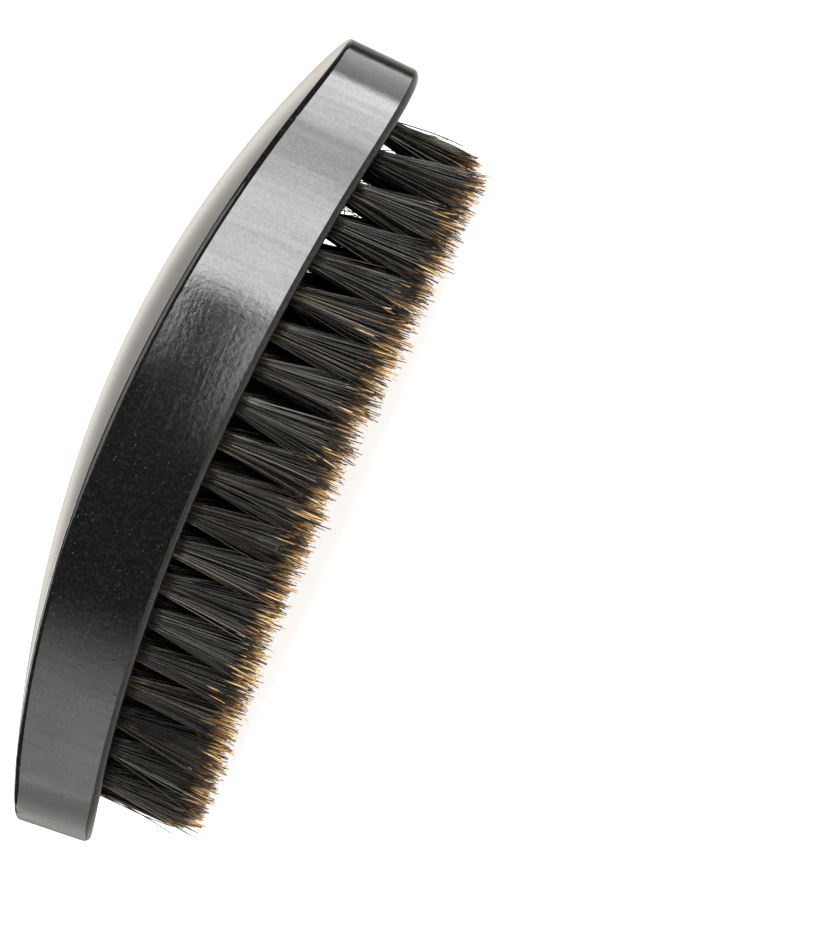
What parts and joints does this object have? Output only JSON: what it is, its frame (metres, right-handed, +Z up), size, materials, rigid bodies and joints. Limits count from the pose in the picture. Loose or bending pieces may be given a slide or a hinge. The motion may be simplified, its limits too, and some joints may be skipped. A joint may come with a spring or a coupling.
{
  "type": "beard brush",
  "caption": "Palm-held oval beard brush: a bowed black lacquered wooden block with rows of boar bristle tufts set in its hollow lower face.",
  "frame": {"origin": "centre of the footprint on the surface the brush lies on, bristles down, at the level of its lowest bristle tips", "axes": "+X along the brush, +Y across it, +Z up out of the crowned back"},
  "size_m": [0.12, 0.06, 0.035],
  "materials": {
    "lacquered_wood": "black lacquer, satin to semi-gloss",
    "boar_bristle": "natural boar hair, dark with pale golden tips",
    "anchor_wire": "flat drawn wire"
  },
  "bodies": {
    "root": {"block": "lacquered_wood", "tuft_row_01": "boar_bristle", "anchor_row_01": "anchor_wire", "tuft_row_02": "boar_bristle", "anchor_row_02": "anchor_wire", "tuft_row_03": "boar_bristle", "anchor_row_03": "anchor_wire", "tuft_row_04": "boar_bristle", "anchor_row_04": "anchor_wire", "tuft_row_05": "boar_bristle", "anchor_row_05": "anchor_wire", "tuft_row_06": "boar_bristle", "anchor_row_06": "anchor_wire", "tuft_row_07": "boar_bristle", "anchor_row_07": "anchor_wire", "tuft_row_08": "boar_bristle", "anchor_row_08": "anchor_wire", "tuft_row_09": "boar_bristle", "anchor_row_09": "anchor_wire", "tuft_row_10": "boar_bristle", "anchor_row_10": "anchor_wire", "tuft_row_11": "boar_bristle", "anchor_row_11": "anchor_wire", "tuft_row_12": "boar_bristle", "anchor_row_12": "anchor_wire", "tuft_row_13": "boar_bristle", "anchor_row_13": "anchor_wire", "tuft_row_14": "boar_bristle", "anchor_row_14": "anchor_wire", "tuft_row_15": "boar_bristle", "anchor_row_15": "anchor_wire", "tuft_row_16": "boar_bristle", "anchor_row_16": "anchor_wire", "tuft_row_17": "boar_bristle", "anchor_row_17": "anchor_wire", "tuft_row_18": "boar_bristle", "anchor_row_18": "anchor_wire", "tuft_row_19": "boar_bristle", "anchor_row_19": "anchor_wire", "tuft_row_20": "boar_bristle", "anchor_row_20": "anchor_wire", "tuft_row_21": "boar_bristle", "anchor_row_21": "anchor_wire"}
  },
  "joints": []
}
